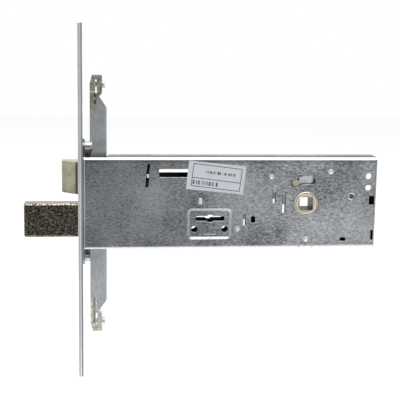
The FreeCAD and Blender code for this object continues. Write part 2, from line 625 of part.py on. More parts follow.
def rod_outline(side):
    """The rod's outline: side is 1 for the top rod and -1 for the bottom one."""
    rise = side * ROD_TRAVEL / BOLT_THROW
    reach = 5.55                        # edge of the cam plate above and below its slot
    x1 = DRIVE_PIN_X + BOLT_THROW + 4.4
    back = DRIVE_PIN_Z - side * 5.0
    limit = WALL_IN - 0.4

    def along(x, offset):
        z = DRIVE_PIN_Z + rise * (x - DRIVE_PIN_X) + side * offset
        return max(-limit, min(limit, z))

    plate = [(ROD_X0, back), (DRIVE_PIN_X + 1.0, back), (x1, along(x1, -reach)), (x1, along(x1, reach)),
             (ROD_X1, along(ROD_X1, reach))]
    strip = [(ROD_X1, ROD_SHOULDER), (12.4, ROD_END - 0.7), (12.4, ROD_END), (ROD_X0, ROD_END)]
    return plate + mirrored_z(side, strip)


def rod_slab(side):
    y0, y1 = sorted((side * ROD_INNER_Y, side * ROD_OUTER_Y))
    return prism_y(rod_outline(side), y0, y1)


def locking_rod(side, name):
    y0, y1 = sorted((side * ROD_INNER_Y, side * ROD_OUTER_Y))
    end_x = DRIVE_PIN_X + BOLT_THROW
    end_z = DRIVE_PIN_Z + side * ROD_TRAVEL
    width = 2 * (DRIVE_PIN_R + SLIDE_GAP)
    cuts = [slot_y(DRIVE_PIN_X, DRIVE_PIN_Z, end_x, end_z, width, y0 - 1, y1 + 1)]
    for w in COUPLING_RIVETS:
        cuts.append(rod_y(10.2, ROD_MID_Z + side * w, 0.9 + FIT_GAP, y0 - 1, y1 + 1))
    keep(name, rod_slab(side).cut(cuts))


def rod_coupling(side, name):
    """The die-cast clamp at a rod's end: two cheeks over the rod, then a slit block with its screw."""
    y_out = side * 7.4
    y_in = side * 0.8
    y0, y1 = sorted((y_out, y_in))
    outline = [(ROD_X0, 57.0), (10.9, 57.0), (11.4, 64.0), (12.6, 65.0), (14.5, 67.2),
               (14.5, COUPLING_END - 0.6), (13.9, COUPLING_END), (8.5, COUPLING_END), (ROD_X0, 73.0)]
    body = prism_y(mirrored_z(side, outline), y0, y1)
    inner_cheek = sorted((side * 3.2, side * 0.5))
    za, zb = sorted((ROD_MID_Z + side * 50, ROD_MID_Z + side * 66.0))
    slit_a = ROD_MID_Z + side * 67.4
    slit_b = ROD_MID_Z + side * 75.0
    groove_y = sorted((side * 6.7, side * 8.0))
    cuts = [rod_slab(side), box(ROD_X0 - 1, 15, *inner_cheek, za, zb),
            slot_y(10.9, slit_a, 10.9, slit_b, 0.9, y0 - 1, y1 + 1),
            slot_y(10.3, ROD_MID_Z + side * 50, 10.3, ROD_MID_Z + side * 75.4, 2.6, *groove_y),
            rod_x(side * CLAMP_SCREW_Y, ROD_MID_Z + side * CLAMP_SCREW, 1.5 + FIT_GAP, 8.0, 16.0)]
    for w in COUPLING_RIVETS:
        cuts.append(rod_y(10.2, ROD_MID_Z + side * w, 0.9 + FIT_GAP, y0 - 1, y1 + 1))
    keep(name, body.cut(cuts).removeSplitter())


def clamp_screw(side, name):
    y = side * CLAMP_SCREW_Y
    z = ROD_MID_Z + side * CLAMP_SCREW
    head = rod_x(y, z, 2.2, 14.55, 16.4)
    head = head.makeFillet(0.4, [e for e in head.Edges if e.Closed and e.CenterOfMass.x > 16])
    slot = box(15.6, 17.0, y - 3, y + 3, z - 0.35, z + 0.35)
    keep(name, head.fuse(rod_x(y, z, 1.5, 8.1, 14.6)).cut(slot))


def coupling_rivets(side, name):
    y0, y1 = sorted((side * 6.7, side * 3.2))
    keep(name, *[rod_y(10.2, ROD_MID_Z + side * w, 0.9, y0, y1) for w in COUPLING_RIVETS])


# ---------------------------------------------------------------- levers and their springs
def lever(index):
    y0 = LEVER_FIRST_Y + index * LEVER_PITCH
    y1 = y0 + LEVER_THICK
    ya = y0 - 1
    yb = y1 + 1
    plate = round_rect(57.0, 100.0, -23.5, 10.0, 1.5, y0, y1)
    x0, x1, z0, z1 = STUMP
    gap = 0.3
    gate = box(x0 - gap, x1 + BOLT_THROW + gap, ya, yb, z0 - gap, z1 + gap)
    pockets = []
    for turn in range(3):
        shift = turn * BOLT_STEP
        pockets.append(box(x0 - gap + shift, x1 + gap + shift, ya, yb, z0 - gap, z1 + gap + LEVER_DROP))
    window = round_rect(67.0, 92.6, -19.6, -2.2, 2.0, ya, yb)
    step = 0.35 * ((index * 2) % 5)
    bellies = [box(74.0, 86.0, ya, yb, -3.0 - step, -1.0), box(75.5, 84.5, ya, yb, -20.0, -18.9 + step)]
    cuts = [gate, window.cut(bellies)] + pockets
    for x, z in GUIDE_PINS:
        cuts.append(slot_y(x, z, x, z + LEVER_DROP, 2 * (RIVET_R + SLIDE_GAP), ya, yb))
    keep("lever_%d" % (index + 1), plate.cut(cuts).removeSplitter())


def lever_springs():
    """One leaf for each lever, from the holder down to the lever's top edge."""
    leaves = []
    for index in range(LEVER_COUNT):
        y0 = LEVER_FIRST_Y + index * LEVER_PITCH + 0.1
        leaf = [(101.6, 13.2), (101.6, 13.6), (90.0, 11.4), (79.0, 10.5), (79.0, 10.1), (90.0, 11.0)]
        leaves.append(prism_y(leaf, y0, y0 + LEVER_THICK - 0.2))
    keep("lever_springs", *leaves)


# ---------------------------------------------------------------- build
def build_all():
    forend()
    forend_screws()
    forend_bosses()
    case_body()
    case_cover()
    case_pillars()
    lever_guide_pins()
    rear_socket()
    lever_cage_plate()
    bolt_tail_guide()
    latch_spring_seat()
    latch_spring_pin()
    latch_rod_stud()
    lever_spring_holder()
    label()
    latch_head()
    latch_rod()
    latch_rivets()
    latch_spring()
    follower()
    follower_spring()
    bolt_head()
    bolt_tail()
    bolt_stump()
    bolt_pins()
    for side, end in ((1, "top"), (-1, "bottom")):
        locking_rod(side, end + "_rod")
        rod_coupling(side, end + "_rod_coupling")
        clamp_screw(side, end + "_clamp_screw")
        coupling_rivets(side, end + "_coupling_rivets")
    for index in range(LEVER_COUNT):
        lever(index)
    lever_springs()


build_all()
os.makedirs("parts", exist_ok=True)
for node, shape in SHAPES.items():
    shape.exportStep(os.path.join("parts", node + ".step"))
    print("%-24s solids %d  valid %s  volume %.1f" % (node, len(shape.Solids), shape.isValid(), shape.Volume))
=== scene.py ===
import bpy
import json
import math
from mathutils import Matrix, Vector


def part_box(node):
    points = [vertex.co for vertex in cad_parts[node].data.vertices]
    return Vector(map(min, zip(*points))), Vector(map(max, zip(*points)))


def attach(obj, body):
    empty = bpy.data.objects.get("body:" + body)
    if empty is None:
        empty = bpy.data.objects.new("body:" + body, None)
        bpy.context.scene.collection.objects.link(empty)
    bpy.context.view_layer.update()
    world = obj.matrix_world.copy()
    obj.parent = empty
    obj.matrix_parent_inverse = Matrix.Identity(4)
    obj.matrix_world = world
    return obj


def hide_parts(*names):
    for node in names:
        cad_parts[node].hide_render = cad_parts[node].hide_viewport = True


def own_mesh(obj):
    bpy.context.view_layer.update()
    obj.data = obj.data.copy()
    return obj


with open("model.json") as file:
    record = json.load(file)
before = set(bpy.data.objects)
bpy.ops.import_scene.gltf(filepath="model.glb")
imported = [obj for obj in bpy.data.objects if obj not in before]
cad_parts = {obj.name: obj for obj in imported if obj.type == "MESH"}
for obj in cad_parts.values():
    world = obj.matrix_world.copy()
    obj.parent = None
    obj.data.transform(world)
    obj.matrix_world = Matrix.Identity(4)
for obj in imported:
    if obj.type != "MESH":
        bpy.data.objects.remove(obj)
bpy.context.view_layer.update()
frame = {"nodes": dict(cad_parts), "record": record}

nodes = frame["nodes"]


# ---- Forend -----------------------------------------------------------------------------------
# The long strip that shows in the door's edge: cold-rolled steel 2.8 mm thick, sheared and punched,
# its edges tumbled, then zinc-plated. It is screwed to the two ears of the case.
MM = 0.001


def linear(hex_colour):
    """An sRGB hex colour as the linear RGBA of a shader socket."""
    channels = [int(hex_colour[i:i + 2], 16) / 255 for i in (1, 3, 5)]
    return [c / 12.92 if c <= 0.04045 else ((c + 0.055) / 1.055) ** 2.4 for c in channels] + [1.0]


def add(tree, kind, settings=None, **sockets):
    """Add a node with its settings. A socket is named with _ for a space, or i and its number."""
    node = tree.nodes.new(kind)
    for key, value in (settings or {}).items():
        setattr(node, key, value)
    for key, value in sockets.items():
        socket = node.inputs[int(key[1:])] if key[1:].isdigit() else node.inputs[key.replace("_", " ")]
        if isinstance(value, bpy.types.NodeSocket):
            tree.links.new(value, socket)
        else:
            socket.default_value = value
    return node


def new_material(name, **surface):
    """A material with one surface shader, and the values that are the same all over it."""
    material = bpy.data.materials.new(name)
    material.use_nodes = True
    shader = material.node_tree.nodes["Principled BSDF"]
    for key, value in surface.items():
        shader.inputs[key.replace("_", " ")].default_value = value
    return material, material.node_tree, shader


def finish_node(name, material):
    """Give a piece of the frame its finish."""
    nodes[name].data.materials.clear()
    nodes[name].data.materials.append(material)


# Zinc on cold-rolled steel is a bluish half-dull metal. The rolls leave short streaks along the
# strip, the bath leaves clouds a few centimetres wide, and the crystals sparkle as fine grit.
def zinc_on_rolled_steel(name, low, high, along, streak_mm, cloud_mm, roughness, contrast=0.13,
                         across_mm=0.75):
    material, tree, shader = new_material(name, Metallic=1.0)
    place = add(tree, "ShaderNodeTexCoord").outputs["Object"]
    scale = [1 / ((streak_mm if axis == along else across_mm) * MM) for axis in "XYZ"]
    rolled = add(tree, "ShaderNodeMapping", Vector=place, Scale=scale)
    streaks = add(tree, "ShaderNodeTexNoise", Vector=rolled.outputs[0], Scale=1.0, Detail=5.0, Roughness=0.7)
    clouds = add(tree, "ShaderNodeTexNoise", Vector=place, Scale=1 / (cloud_mm * MM), Detail=3.0)
    grit = add(tree, "ShaderNodeTexNoise", Vector=place, Scale=1 / (0.7 * MM), Detail=3.0, Roughness=0.7)
    marks = add(tree, "ShaderNodeMix", i0=0.45, i2=streaks.outputs[0], i3=grit.outputs[0])
    tone = add(tree, "ShaderNodeMix", i0=0.25, i2=marks.outputs[0], i3=clouds.outputs[0])
    spread = add(tree, "ShaderNodeMapRange", i0=tone.outputs[0], i1=0.5 - contrast, i2=0.5 + contrast)
    colour = add(tree, "ShaderNodeMix", {"data_type": "RGBA"}, i0=spread.outputs[0],
                 i6=linear(low), i7=linear(high))
    dull = add(tree, "ShaderNodeMapRange", i0=marks.outputs[0], i1=0.35, i2=0.65,
               i3=roughness + 0.1, i4=roughness - 0.06)
    edge = add(tree, "ShaderNodeBevel", {"samples": 6}, Radius=0.3 * MM)
    relief = add(tree, "ShaderNodeBump", Strength=0.3, Distance=0.03 * MM, Height=marks.outputs[0],
                 Normal=edge.outputs[0])
    # sheared edges are painted bright, partly as rubbing and partly as a painted highlight: there the rounded
    # normal leans away from the flat one
    flat = add(tree, "ShaderNodeNewGeometry").outputs["Normal"]
    lean = add(tree, "ShaderNodeVectorMath", {"operation": "DOT_PRODUCT"}, i0=edge.outputs[0], i1=flat)
    worn_and_highlit = add(tree, "ShaderNodeMapRange", i0=lean.outputs["Value"], i1=0.995, i2=0.88, i3=0.0, i4=0.75)
    rubbed_and_highlit = add(tree, "ShaderNodeMix", {"data_type": "RGBA"}, i0=worn_and_highlit.outputs[0], i6=colour.outputs[2],
                 i7=linear("#eceef0"))
    tree.links.new(rubbed_and_highlit.outputs[2], shader.inputs["Base Color"])
    tree.links.new(dull.outputs[0], shader.inputs["Roughness"])
    tree.links.new(relief.outputs[0], shader.inputs["Normal"])
    return material


def recolour(material, low_mm, high_mm, colour, amount=1.0, soft_mm=0.4, metallic=None):
    """Blend a colour over a material between two corners, in millimetres in the frame's axes.

    None leaves that side open. Inside each limit the colour fades out over soft_mm.
    """
    tree = material.node_tree
    shader = tree.nodes["Principled BSDF"]
    target = shader.inputs["Base Color"]
    before = target.links[0].from_socket
    axes = add(tree, "ShaderNodeSeparateXYZ", Vector=add(tree, "ShaderNodeTexCoord").outputs["Object"])
    share = amount
    for axis, low, high in zip("XYZ", low_mm, high_mm):
        for limit, way in ((low, -1), (high, 1)):
            if limit is not None:
                fade = add(tree, "ShaderNodeMapRange", i0=axes.outputs[axis], i1=(limit - way * soft_mm) * MM,
                           i2=limit * MM, i3=1.0, i4=0.0)
                share = add(tree, "ShaderNodeMath", {"operation": "MULTIPLY"}, i0=share,
                            i1=fade.outputs[0]).outputs[0]
    mixed = add(tree, "ShaderNodeMix", {"data_type": "RGBA"}, i0=share, i6=before, i7=linear(colour))
    tree.links.new(mixed.outputs[2], target)
    if metallic is not None:
        metal = shader.inputs["Metallic"]
        earlier = metal.links[0].from_socket if metal.is_linked else metal.default_value
        tree.links.new(add(tree, "ShaderNodeMix", i0=share, i2=earlier, i3=metallic).outputs[0], metal)


zinc_forend = zinc_on_rolled_steel("zinc_plated_forend_strip", "#c4c5c6", "#ededed", "Z", 6.0, 25.0, 0.42)
ANYWHERE = (None, None, None)
# the lower half is painted a little darker, as shade, with no edge between the two
SHADED_BELOW_Z = 10.0
recolour(zinc_forend, ANYWHERE, (None, None, SHADED_BELOW_Z), "#7f8183", 0.45, 90.0)
# a painted highlight band lies on the strip's sheared sides, and a band of painted shade behind it, towards
# the case
SHEARED_SIDE_Y = -10.7
SIDE_HIGHLIGHT_BAND_X = (1.2, 1.7)
SIDE_SHADE_FROM_X = 1.95
recolour(zinc_forend, (SIDE_HIGHLIGHT_BAND_X[0], None, None), (SIDE_HIGHLIGHT_BAND_X[1], SHEARED_SIDE_Y, None),
         "#ffffff", 0.7, 0.1)
recolour(zinc_forend, (SIDE_SHADE_FROM_X, None, None), (None, SHEARED_SIDE_Y, None), "#3f4144", 0.65, 0.1)
finish_node("forend", zinc_forend)

# ---- Case and cover ---------------------------------------------------------------------------
# A tray pressed and folded from 1.2 mm sheet, closed by a flat cover of the same sheet. Both have
# the pressed keyhole pocket. They are zinc-plated first, and then riveted together by the pillars.
def case_sheet(name):
    """The finish that the case and the cover share."""
    return zinc_on_rolled_steel(name, "#4d5257", "#b0b3b6", "X", 2.2, 30.0, 0.38, 0.09, 1.0)


# Painted shade darkens the top wall and the face's upper edge beside the fold, and painted highlights lie on
# the three folds themselves. The rear third of the sheet is painted a little darker, as shade.
FOLDS_BEFORE_Y = -6.0
zinc_case = case_sheet("zinc_plated_case_sheet")
recolour(zinc_case, (None, None, 24.0), (None, 3.0, None), "#33363a", 0.75, 4.0)
recolour(zinc_case, (140.0, None, None), ANYWHERE, "#3c4044", 0.3, 30.0)
recolour(zinc_case, (None, None, 26.5), (None, FOLDS_BEFORE_Y, None), "#fafbfc", 0.95, 0.5)
recolour(zinc_case, ANYWHERE, (None, FOLDS_BEFORE_Y, -25.9), "#e4e6e8", 0.85, 1.6)
recolour(zinc_case, ANYWHERE, (4.3, FOLDS_BEFORE_Y, None), "#e8eaec", 0.6, 0.5)
# the pressed wall of the keyhole pocket gets a painted highlight all round: its sheet leans out of the flat,
# so the Y part of its normal lies between that of the face and that of the walls
PRESSED_NORMAL_Y = (-0.86, 0.09)
tree = zinc_case.node_tree
shader = tree.nodes["Principled BSDF"]
edge = add(tree, "ShaderNodeBevel", {"samples": 6}, Radius=0.25 * MM)
facing = add(tree, "ShaderNodeSeparateXYZ", Vector=edge.outputs[0])
leaning = add(tree, "ShaderNodeMath", {"operation": "COMPARE"}, i0=facing.outputs["Y"],
              i1=PRESSED_NORMAL_Y[0], i2=PRESSED_NORMAL_Y[1])
share = add(tree, "ShaderNodeMath", {"operation": "MULTIPLY"}, i0=leaning.outputs[0], i1=0.28)
pocket_painted_highlight = add(tree, "ShaderNodeMix", {"data_type": "RGBA"}, i0=share.outputs[0],
             i6=shader.inputs["Base Color"].links[0].from_socket, i7=linear("#f2f3f4"))
tree.links.new(pocket_painted_highlight.outputs[2], shader.inputs["Base Color"])
finish_node("case_body", zinc_case)

# The cover's inner face is painted nearly black, as shade inside the case.
COVER_INSIDE_Y = 6.7
zinc_cover = case_sheet("zinc_plated_cover_sheet")
recolour(zinc_cover, ANYWHERE, (None, COVER_INSIDE_Y, None), "#161412", 1.0, 0.05, 0.0)
finish_node("case_cover", zinc_cover)

# ---- Plates inside the case -------------------------------------------------------------------
# Small blanked brackets of the same sheet: the lever cage, the bolt tail's channel, the seat of the
# latch spring and the block that holds the lever springs. Their tabs are staked in the case's slots.
zinc_bracket = zinc_on_rolled_steel("zinc_plated_brackets", "#8a8e93", "#c0c4c8", "Z", 2.0, 12.0, 0.36)
finish_node("lever_spring_holder", zinc_bracket)

# Each staked tab gets a painted highlight on its lower half and painted shade on its upper half, as light
# from above falls on it. Each slot is given by its x and its lowest, middle and highest z, in millimetres.
STAKED_SLOTS = ((73.8, -0.3, 3.4, 7.2), (101.1, -13.5, -9.7, -5.9), (119.3, 0.0, 3.0, 7.2),
                (125.3, -5.9, -0.5, 5.9))
TAB_ENDS_Y = -7.5
TAB_REACH = 1.5
zinc_staked = zinc_on_rolled_steel("zinc_plated_staked_plates", "#8a8e93", "#c0c4c8", "Z", 2.0, 12.0, 0.30)
for x, z_low, z_mid, z_high in STAKED_SLOTS:
    left, right = x - TAB_REACH, x + TAB_REACH
    recolour(zinc_staked, (left, None, z_low - 1), (right, TAB_ENDS_Y, z_mid), "#ffffff", 0.95)
    recolour(zinc_staked, (left, None, z_mid), (right, TAB_ENDS_Y, z_high), "#55585b", 0.7)
for name in ("lever_cage_plate", "bolt_tail_guide"):
    finish_node(name, zinc_staked)

# The latch spring's seat is painted nearly black, as shade behind the case's slot; only the end of its tab
# keeps a pale painted highlight.
SEAT_TAB_END_Y = -7.3
seat_painted_shade_and_highlight = zinc_on_rolled_steel("spring_seat_painted_shade_and_highlight", "#e0e1e2", "#fafafa", "Z", 2.0, 8.0, 0.4)
recolour(seat_painted_shade_and_highlight, (None, SEAT_TAB_END_Y, None), ANYWHERE, "#161514", 1.0, 0.2, 0.0)
finish_node("latch_spring_seat", seat_painted_shade_and_highlight)

# ---- Screws, pillars, rivets and studs --------------------------------------------------------
# Turned or cold-headed steel, zinc-plated. The lathe leaves rings about 0.3 mm apart on the round
# pieces, too fine to show, so they are drawn as a soft grain across the axis.
zinc_turned = zinc_on_rolled_steel("zinc_plated_turned_steel", "#a3a5a8", "#d6d8da", "Y", 3.0, 8.0, 0.30)
for name in ("forend_screws", "forend_screw_bosses", "case_pillars", "lever_guide_pins", "latch_rod_stud",
             "latch_spring_pin"):
    finish_node(name, zinc_turned)

# The rear pillar's bore is painted nearly black, as shade in the hole, and its end is left pale.
PILLAR_END_Y = -6.4
zinc_tapped = zinc_on_rolled_steel("zinc_plated_tapped_pillar", "#d6d8da", "#f0f1f2", "Y", 1.0, 4.0, 0.3)
recolour(zinc_tapped, (None, PILLAR_END_Y, None), ANYWHERE, "#050504", 1.0, 0.1, 0.0)
finish_node("rear_threaded_pillar", zinc_tapped)

# ---- Label ------------------------------------------------------------------------------------
# A paper sticker stuck on by hand, a few degrees out of level, and printed with a frame in two rows.
# The print is only a frame, a line and bars. It sits a degree and a half more out of level.
LABEL_PRINT_MID = (83.54 * MM, 0.0, 16.14 * MM)
LABEL_PRINT_TURN = math.radians(7.2)
paper, tree, shader = new_material("matte_sticker_paper", Roughness=0.6, IOR=1.45)
place = add(tree, "ShaderNodeTexCoord").outputs["Object"]
printed = add(tree, "ShaderNodeMapping", {"vector_type": "TEXTURE"}, Vector=place,
              Location=LABEL_PRINT_MID, Rotation=(0.0, LABEL_PRINT_TURN, 0.0))
axes = add(tree, "ShaderNodeSeparateXYZ", Vector=printed.outputs[0])


def printed_box(x_mid, z_mid, width, height):
    """1 inside a box of the print, with its sizes in millimetres."""
    inside = []
    for axis, mid, size in (("X", x_mid, width), ("Z", z_mid, height)):
        inside.append(add(tree, "ShaderNodeMath", {"operation": "COMPARE"}, i0=axes.outputs[axis],
                          i1=mid * MM, i2=size / 2 * MM).outputs[0])
    return add(tree, "ShaderNodeMath", {"operation": "MULTIPLY"}, i0=inside[0], i1=inside[1]).outputs[0]


def combine(operation, first, second):
    return add(tree, "ShaderNodeMath", {"operation": operation}, i0=first, i1=second).outputs[0]


frame_line = combine("SUBTRACT", printed_box(0, 0, 30.2, 14.1), printed_box(0, 0, 29.3, 13.2))
frame_line = combine("MAXIMUM", frame_line, printed_box(0, -1.7, 29.8, 0.45))
ticks = add(tree, "ShaderNodeTexNoise", {"noise_dimensions": "1D"}, W=axes.outputs["X"],
            Scale=1 / (1.1 * MM), Detail=1.0)
strokes = add(tree, "ShaderNodeMapRange", i0=ticks.outputs[0], i1=0.44, i2=0.56)
words = combine("MAXIMUM", printed_box(2.2, 2.6, 18.5, 1.7), printed_box(-6.6, -4.4, 15.6, 2.5))
ink = combine("MAXIMUM", frame_line, combine("MULTIPLY", words, strokes.outputs[0]))
fibres = add(tree, "ShaderNodeTexNoise", Vector=place, Scale=1 / (1.5 * MM), Detail=4.0)
bare = add(tree, "ShaderNodeMix", {"data_type": "RGBA"}, i0=fibres.outputs[0],
           i6=linear("#b2b4bb"), i7=linear("#c2c4ca"))
shade = add(tree, "ShaderNodeMix", {"data_type": "RGBA"}, i0=ink, i6=bare.outputs[2], i7=linear("#4a4c50"))
nap = add(tree, "ShaderNodeBump", Strength=0.2, Distance=0.02 * MM, Height=fibres.outputs[0])
tree.links.new(shade.outputs[2], shader.inputs["Base Color"])
tree.links.new(nap.outputs[0], shader.inputs["Normal"])
finish_node("inspection_label", paper)


# ---- Latch ------------------------------------------------------------------------------------
# The spring latch's head is pressed and sintered from steel powder and nickel-plated: a beige metal,
# nearly matt, with a fine even grain. Two rivets join it to the flat rod behind it.
def nickel_on_powder(name, low, high, grain_mm, roughness):
    material, tree, shader = new_material(name, Metallic=1.0)
    place = add(tree, "ShaderNodeTexCoord").outputs["Object"]
    grain = add(tree, "ShaderNodeTexNoise", Vector=place, Scale=1 / (grain_mm * MM), Detail=4.0)
    stain = add(tree, "ShaderNodeTexNoise", Vector=place, Scale=1 / (7.0 * MM), Detail=2.0)
    tone = add(tree, "ShaderNodeMix", i0=0.5, i2=grain.outputs[0], i3=stain.outputs[0])
    spread = add(tree, "ShaderNodeMapRange", i0=tone.outputs[0], i1=0.38, i2=0.62)
    colour = add(tree, "ShaderNodeMix", {"data_type": "RGBA"}, i0=spread.outputs[0],
                 i6=linear(low), i7=linear(high))
    dull = add(tree, "ShaderNodeMapRange", i0=grain.outputs[0], i1=0.35, i2=0.65,
               i3=roughness - 0.05, i4=roughness + 0.08)
    edge = add(tree, "ShaderNodeBevel", {"samples": 4}, Radius=0.2 * MM)
    relief = add(tree, "ShaderNodeBump", Strength=0.4, Distance=0.03 * MM, Height=grain.outputs[0],
                 Normal=edge.outputs[0])
    tree.links.new(colour.outputs[2], shader.inputs["Base Color"])
    tree.links.new(dull.outputs[0], shader.inputs["Roughness"])
    tree.links.new(relief.outputs[0], shader.inputs["Normal"])
    return material


sintered = nickel_on_powder("nickel_plated_sintered_steel", "#948f7c", "#b6b19f", 0.6, 0.48)
# painted shade darkens the head beside the forend and along its lower edge, and a painted highlight lies
# along its top edge
LATCH_FLAT_Y = -4.0
recolour(sintered, (-1.9, None, None), (None, LATCH_FLAT_Y, None), "#4b4735", 0.75, 0.5)
recolour(sintered, ANYWHERE, (None, LATCH_FLAT_Y, 6.6), "#4b4735", 0.6, 0.6)
recolour(sintered, (None, None, 24.6), ANYWHERE, "#dcd8c8", 0.5, 0.5)
finish_node("latch_head", sintered)
# along the stretch that slides past the seat, the tabs and the stud, the rod is painted nearly black, as
# shade inside the case
latch_zinc = zinc_on_rolled_steel("zinc_plated_latch_rod", "#8a8e93", "#c0c4c8", "X", 3.0, 12.0, 0.36)
recolour(latch_zinc, (26.0, None, None), (110.0, None, None), "#171513", 1.0, 1.0, 0.0)
finish_node("latch_rod", latch_zinc)
finish_node("latch_rivets", zinc_turned)

# ---- Latch spring -----------------------------------------------------------------------------
# A compression spring of hard-drawn 0.8 mm wire between the latch head and its seat, round a pin.
# Its first and last turns are wound close, as on any such spring.
WIRE_R = 0.4 * MM
WIRE_SIDES = 10
COIL_R = 2.6 * MM
COIL_TURNS = 15
COIL_STEPS = 20
spring_low, spring_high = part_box("latch_spring")
spring_z = (spring_low[2] + spring_high[2]) / 2
first_x = spring_low[0] + WIRE_R
last_x = spring_high[0] - WIRE_R

bpy.ops.object.select_all(action="DESELECT")
bpy.ops.mesh.primitive_circle_add(vertices=WIRE_SIDES, radius=WIRE_R, location=(0.0, 0.0, COIL_R),
                                  rotation=(math.pi / 2, 0.0, 0.0))
latch_coil = bpy.context.object
latch_coil.name = "latch_spring_coil"
bpy.ops.object.transform_apply(location=True, rotation=True, scale=True)
winding = latch_coil.modifiers.new("winding", "SCREW")
winding.axis = "X"
winding.angle = 2 * math.pi * COIL_TURNS
winding.screw_offset = last_x - first_x
winding.steps = COIL_STEPS * COIL_TURNS
winding.render_steps = COIL_STEPS * COIL_TURNS
bpy.ops.object.modifier_apply(modifier="winding")
# close the end turns: a point's turn follows from how far along the even winding it lies
pitch = (last_x - first_x) / COIL_TURNS
close_pitch = 2.1 * WIRE_R
open_pitch = (last_x - first_x - 2 * close_pitch) / (COIL_TURNS - 2)
rings = [(v, i // WIRE_SIDES) for i, v in enumerate(latch_coil.data.vertices)]
for vertex, ring in rings:
    turn = ring / COIL_STEPS
    wound = close_pitch * min(turn, 1.0) + open_pitch * min(max(turn - 1.0, 0.0), COIL_TURNS - 2)
    wound += close_pitch * max(turn - (COIL_TURNS - 1), 0.0)
    vertex.co.x += wound - pitch * turn
latch_coil.data.transform(Matrix.Translation((first_x, 0.0, spring_z)))
bpy.ops.object.mode_set(mode="EDIT")
bpy.ops.mesh.select_all(action="SELECT")
bpy.ops.mesh.remove_doubles(threshold=0.001 * MM)
bpy.ops.mesh.fill_holes(sides=12)
bpy.ops.mesh.select_all(action="SELECT")
bpy.ops.mesh.normals_make_consistent(inside=False)
bpy.ops.object.mode_set(mode="OBJECT")
bpy.ops.object.shade_smooth_by_angle(angle=math.radians(50))

# Drawn wire: a bright grey metal with fine drawing lines and traces of oil.
wire, tree, shader = new_material("hard_drawn_spring_wire", Metallic=1.0)
place = add(tree, "ShaderNodeTexCoord").outputs["Object"]
drawn = add(tree, "ShaderNodeTexNoise", Vector=place, Scale=1 / (0.6 * MM), Detail=3.0)
colour = add(tree, "ShaderNodeMix", {"data_type": "RGBA"}, i0=drawn.outputs[0],
             i6=linear("#77797c"), i7=linear("#b9bbbd"))
dull = add(tree, "ShaderNodeMapRange", i0=drawn.outputs[0], i3=0.22, i4=0.42)
tree.links.new(colour.outputs[2], shader.inputs["Base Color"])
tree.links.new(dull.outputs[0], shader.inputs["Roughness"])
latch_coil.data.materials.append(wire)
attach(latch_coil, "lock_case")
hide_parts("latch_spring")
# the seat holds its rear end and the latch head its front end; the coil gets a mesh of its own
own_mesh(latch_coil)

# ---- Follower ---------------------------------------------------------------------------------
# The hub that the handle's square spindle turns, sintered like the latch head. Its arm ends in a
# pin that draws the latch rod back, and shows in the case's curved slot.
follower_joint = next(j for j in frame["record"]["behaviour"]["joints"] if j["name"] == "follower_turn")
HUB_X, HUB_Z = follower_joint["pos_m"][0], follower_joint["pos_m"][2]
follower_nickel = nickel_on_powder("nickel_plated_follower", "#8d8876", "#b9b4a2", 0.6, 0.42)
# the spindle's square is painted dark, as shade inside the hole
recolour(follower_nickel, (135.2, -7.7, -4.6), (143.6, 7.5, 3.8), "#423e2e", 1.0, 0.1, 0.0)
# Two painted highlight rings lie round the rim of the hub, with a fine ring of painted shade between them.
# Each is given by its radius and half its width in millimetres, its colour and how much of it shows.
HUB_RINGS = ((6.0, 0.25, "#f0ebdd", 0.8), (6.55, 0.3, "#4c4838", 0.8), (7.2, 0.3, "#f0ebdd", 0.8))
tree = follower_nickel.node_tree
shader = tree.nodes["Principled BSDF"]
from_axis = add(tree, "ShaderNodeVectorMath", {"operation": "SUBTRACT"},
                i0=add(tree, "ShaderNodeTexCoord").outputs["Object"], i1=(HUB_X, 0.0, HUB_Z))
across = add(tree, "ShaderNodeVectorMath", {"operation": "MULTIPLY"}, i0=from_axis.outputs[0],
             i1=(1.0, 0.0, 1.0))
radius = add(tree, "ShaderNodeVectorMath", {"operation": "LENGTH"}, i0=across.outputs[0])
for ring_mm, half_width_mm, colour, amount in HUB_RINGS:
    band = add(tree, "ShaderNodeMath", {"operation": "COMPARE"}, i0=radius.outputs["Value"],
               i1=ring_mm * MM, i2=half_width_mm * MM)
    share = add(tree, "ShaderNodeMath", {"operation": "MULTIPLY"}, i0=band.outputs[0], i1=amount)
    ringed = add(tree, "ShaderNodeMix", {"data_type": "RGBA"}, i0=share.outputs[0],
                 i6=shader.inputs["Base Color"].links[0].from_socket, i7=linear(colour))
    tree.links.new(ringed.outputs[2], shader.inputs["Base Color"])
finish_node("follower", follower_nickel)

# ---- Follower spring --------------------------------------------------------------------------
# A torsion spring of 1.1 mm wire round the hub. One leg leans on a case pillar and the other pushes
# the arm's lug, so that the handle comes back level.
HUB_WIRE_R = 0.55 * MM
HUB_WIRE_SIDES = 12
HUB_COIL_R = 8.9 * MM
HUB_TURNS = 2
HUB_STEPS = 76
# angle above +X, distance behind the middle plane and length of each leg
SHORT_LEG = (math.radians(50.0), 1.8 * MM, 8.2 * MM)
LONG_LEG = (math.radians(-7.9), 4.8 * MM, 21.0 * MM)

